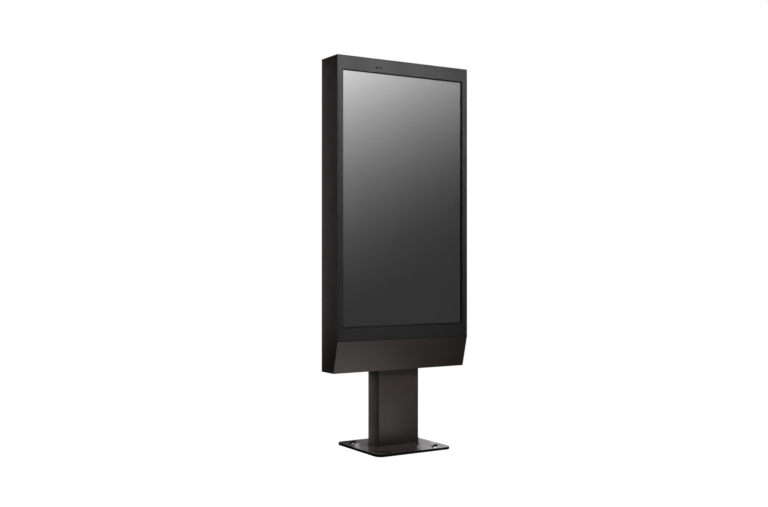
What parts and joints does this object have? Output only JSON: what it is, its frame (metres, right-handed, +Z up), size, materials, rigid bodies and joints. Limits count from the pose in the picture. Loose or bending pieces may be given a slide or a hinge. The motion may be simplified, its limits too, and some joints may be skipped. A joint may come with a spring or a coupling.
{
  "type": "touchscreen kiosk",
  "caption": "Free-standing portrait touchscreen kiosk: glazed display door on pivot pins, slim sheet-metal housing, short column and floor plate with anchor slots.",
  "frame": {"origin": "centre of the floor plate's underside, on the floor", "axes": "+Z up, +X to the right of someone facing the screen, +Y away from them (the screen faces -Y)"},
  "size_m": [0.7524, 0.406, 1.888],
  "materials": {
    "body_paint": "fine textured powder coat, warm charcoal",
    "frame_paint": "satin powder coat, neutral dark grey",
    "glass": "clear toughened glass with a black printed border",
    "screen": "matt polariser over the display cell",
    "rubber": "matt black",
    "plated_steel": "zinc plated, slightly cloudy",
    "aluminium": "brushed sheet",
    "black_plastic": "fine moulded grain",
    "pale_plastic": "smooth moulded",
    "circuit_board": "green solder mask",
    "lock_chrome": "polished",
    "filter_foam": "open cell foam"
  },
  "bodies": {
    "stand": {"base_plate": "body_paint", "column_tube": "body_paint", "column_access_cover": "body_paint", "left_side_panel": "body_paint", "right_side_panel": "body_paint", "top_panel": "body_paint", "bottom_panel": "body_paint", "apron_panel": "body_paint", "back_panel": "body_paint", "fan_grille_left": "body_paint", "fan_grille_right": "body_paint", "intake_grille": "body_paint", "base_grommet": "rubber", "cable_bush": "rubber", "power_harness": "rubber", "video_cable": "rubber", "column_top_plate": "plated_steel", "mounting_spreader": "plated_steel", "chassis_upright_left": "plated_steel", "chassis_upright_right": "plated_steel", "equipment_plate": "plated_steel", "hinge_pin_top": "plated_steel", "hinge_pin_bottom": "plated_steel", "power_supply": "aluminium", "lifting_plug_left": "black_plastic", "lifting_plug_right": "black_plastic", "fan_frame_left": "black_plastic", "fan_frame_right": "black_plastic", "media_player": "black_plastic", "junction_block": "black_plastic", "breaker_body": "pale_plastic", "lock_body_upper": "lock_chrome", "lock_body_lower": "lock_chrome", "intake_filter": "filter_foam"},
    "display_door": {"door_frame": "frame_paint", "glass_gasket": "rubber", "touch_glass": "glass", "display_carrier_left": "plated_steel", "display_carrier_right": "plated_steel", "glass_retainer_top": "plated_steel", "glass_retainer_bottom": "plated_steel", "lcd_bezel": "black_plastic", "lcd_cell": "screen", "backlight_tray": "plated_steel", "driver_box": "aluminium", "sensor_board": "circuit_board", "light_sensor_window": "glass", "ir_receiver_window": "glass", "hinge_bush_top": "pale_plastic", "hinge_bush_bottom": "pale_plastic", "lock_strike_upper": "plated_steel", "lock_strike_lower": "plated_steel"},
    "lock_upper": {"lock_plug_upper": "lock_chrome", "lock_cam_upper": "plated_steel"},
    "lock_lower": {"lock_plug_lower": "lock_chrome", "lock_cam_lower": "plated_steel"},
    "fan_left": {"fan_rotor_left": "black_plastic"},
    "fan_right": {"fan_rotor_right": "black_plastic"},
    "toggle": {"breaker_toggle": "black_plastic"}
  },
  "joints": [
    {"name": "door_hinge", "type": "hinge", "parent": "stand", "child": "display_door", "pos_m": [-0.362, -0.1, 1.2135], "axis": [0, 0, -1], "range_deg": [0, 110]},
    {"name": "upper_lock_turn", "type": "hinge", "parent": "stand", "child": "lock_upper", "pos_m": [0.375, -0.06, 1.55], "axis": [-1, 0, 0], "range_deg": [0, 90]},
    {"name": "lower_lock_turn", "type": "hinge", "parent": "stand", "child": "lock_lower", "pos_m": [0.375, -0.06, 0.88], "axis": [-1, 0, 0], "range_deg": [0, 90]},
    {"name": "left_fan_spin", "type": "hinge", "parent": "stand", "child": "fan_left", "pos_m": [-0.12, 0.0355, 1.72], "axis": [0, 1, 0], "continuous": true},
    {"name": "right_fan_spin", "type": "hinge", "parent": "stand", "child": "fan_right", "pos_m": [0.12, 0.0355, 1.72], "axis": [0, 1, 0], "continuous": true},
    {"name": "breaker_switch", "type": "hinge", "parent": "stand", "child": "toggle", "pos_m": [0.218, -0.0205, 0.8425], "axis": [1, 0, 0], "range_deg": [0, 60]}
  ]
}
